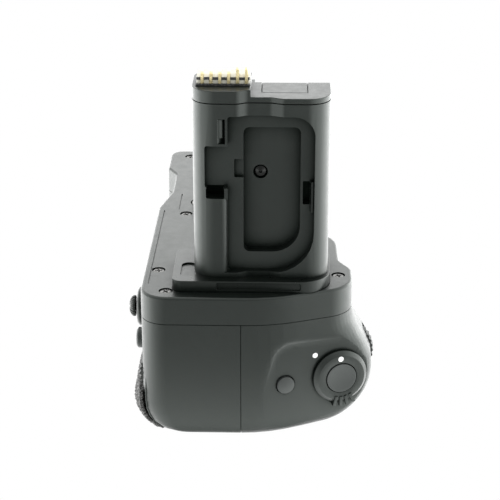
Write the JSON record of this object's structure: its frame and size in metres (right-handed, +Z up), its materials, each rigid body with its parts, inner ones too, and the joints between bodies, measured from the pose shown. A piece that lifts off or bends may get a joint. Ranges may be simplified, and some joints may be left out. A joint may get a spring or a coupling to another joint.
{
  "type": "camera battery grip",
  "caption": "Vertical battery grip for a camera: battery drawer, camera screw with thumbwheel, battery-shaped insert with contacts, and shutter button, lock ring, dials and joystick.",
  "frame": {"origin": "centre of the tripod socket at the mouth in the base", "axes": "+X towards the shutter end, +Y towards the front of the camera, +Z up towards the camera"},
  "size_m": [0.1374, 0.0767, 0.112],
  "materials": {
    "casing_plastic": "fine sand-textured charcoal moulding",
    "dark_plastic": "satin black moulding",
    "dial_rubber": "knurled soft black",
    "rubber": "pebbled matte black",
    "button_plastic": "satin mid grey",
    "block_plastic": "plain beige grey",
    "steel": "machined",
    "black_steel": "blackened",
    "gold_contact": "gold plated",
    "brass": "machined",
    "board": "solder-masked board",
    "flex": "polyimide film"
  },
  "bodies": {
    "grip": {"top_cover": "casing_plastic", "rear_casing": "casing_plastic", "front_casing": "casing_plastic", "base_plate": "casing_plastic", "insert_base": "dark_plastic", "insert_shell": "casing_plastic", "insert_cap": "casing_plastic", "contact_seal": "rubber", "contact_block": "block_plastic", "short_blades": "gold_contact", "tall_blades": "gold_contact", "contact_flex": "flex", "cover_clip": "dark_plastic", "store_screw": "black_steel", "plate_screws": "black_steel", "base_screws": "black_steel", "tripod_bush": "steel", "gear_plate": "steel", "wheel_axle": "steel", "chamber_frame": "dark_plastic", "chamber_contacts": "gold_contact", "main_board": "board", "shutter_housing": "dark_plastic", "shutter_switch": "dark_plastic", "panel_board": "board", "fn_switch": "dark_plastic", "front_dial_axle": "steel", "front_dial_bracket": "dark_plastic", "rear_dial_axle": "steel", "rear_dial_bracket": "dark_plastic", "rear_board": "board", "focus_switch": "dark_plastic", "joystick_bezel": "dark_plastic", "joystick_base": "dark_plastic", "thumb_rest": "rubber", "front_pad": "rubber"},
    "screw": {"camera_screw": "steel", "screw_gear": "brass", "screw_washer": "steel"},
    "thumbwheel": {"thumbwheel": "dark_plastic"},
    "tray": {"battery_tray": "dark_plastic", "tray_door": "casing_plastic", "tray_contacts": "gold_contact"},
    "latch": {"latch_knob": "dark_plastic", "latch_cam": "steel"},
    "shutter": {"shutter_button": "button_plastic"},
    "lock": {"lock_ring": "casing_plastic"},
    "fn": {"fn_button": "button_plastic"},
    "focus": {"focus_button": "button_plastic"},
    "front_dial": {"front_dial": "dial_rubber"},
    "rear_dial": {"rear_dial": "dial_rubber"},
    "gimbal": {"joystick_gimbal": "steel"},
    "stick": {"joystick": "dark_plastic"}
  },
  "joints": [
    {"name": "thumbwheel_turn", "type": "hinge", "parent": "grip", "child": "thumbwheel", "pos_m": [-0.01633, -0.0015, 0.0335], "axis": [0, 0, 1], "continuous": true},
    {"name": "camera_screw_turn", "type": "hinge", "parent": "grip", "child": "screw", "pos_m": [0, 0, 0.046], "axis": [0, 0, 1], "continuous": true},
    {"name": "tray_slide", "type": "slide", "parent": "grip", "child": "tray", "axis": [-1, 0, 0], "range_m": [0, 0.115]},
    {"name": "latch_turn", "type": "hinge", "parent": "tray", "child": "latch", "pos_m": [-0.056, 0.013, 0.02045], "axis": [1, 0, 0], "range_deg": [0, 90]},
    {"name": "shutter_press", "type": "slide", "parent": "grip", "child": "shutter", "axis": [-0.9511, -0.309, 0], "range_m": [0, 0.0012], "stiffness_N_per_m": 600},
    {"name": "lock_turn", "type": "hinge", "parent": "grip", "child": "lock", "pos_m": [0.07367, 0.0453, 0.0176], "axis": [0.9511, 0.309, 0], "range_deg": [0, 35]},
    {"name": "fn_press", "type": "slide", "parent": "grip", "child": "fn", "axis": [-0.9511, -0.309, 0], "range_m": [0, 0.0007], "stiffness_N_per_m": 1500},
    {"name": "focus_press", "type": "slide", "parent": "grip", "child": "focus", "axis": [0, 1, 0], "range_m": [0, 0.0005], "stiffness_N_per_m": 2500},
    {"name": "front_dial_turn", "type": "hinge", "parent": "grip", "child": "front_dial", "pos_m": [0.05827, 0.0463, 0.0194], "axis": [1, 0, 0], "continuous": true},
    {"name": "rear_dial_turn", "type": "hinge", "parent": "grip", "child": "rear_dial", "pos_m": [0.0724, -0.0064, 0.0176], "axis": [1, 0, 0], "continuous": true},
    {"name": "stick_up_down", "type": "hinge", "parent": "grip", "child": "gimbal", "pos_m": [0.0524, -0.0113, 0.0304], "axis": [1, 0, 0], "range_deg": [-6, 6], "stiffness_Nm_per_rad": 0.02},
    {"name": "stick_side", "type": "hinge", "parent": "gimbal", "child": "stick", "pos_m": [0.0524, -0.0113, 0.0304], "axis": [0, 0, 1], "range_deg": [-6, 6], "stiffness_Nm_per_rad": 0.02}
  ],
  "couplings": [
    {"joint": "camera_screw_turn", "follows": "thumbwheel_turn", "ratio": -0.64}
  ]
}
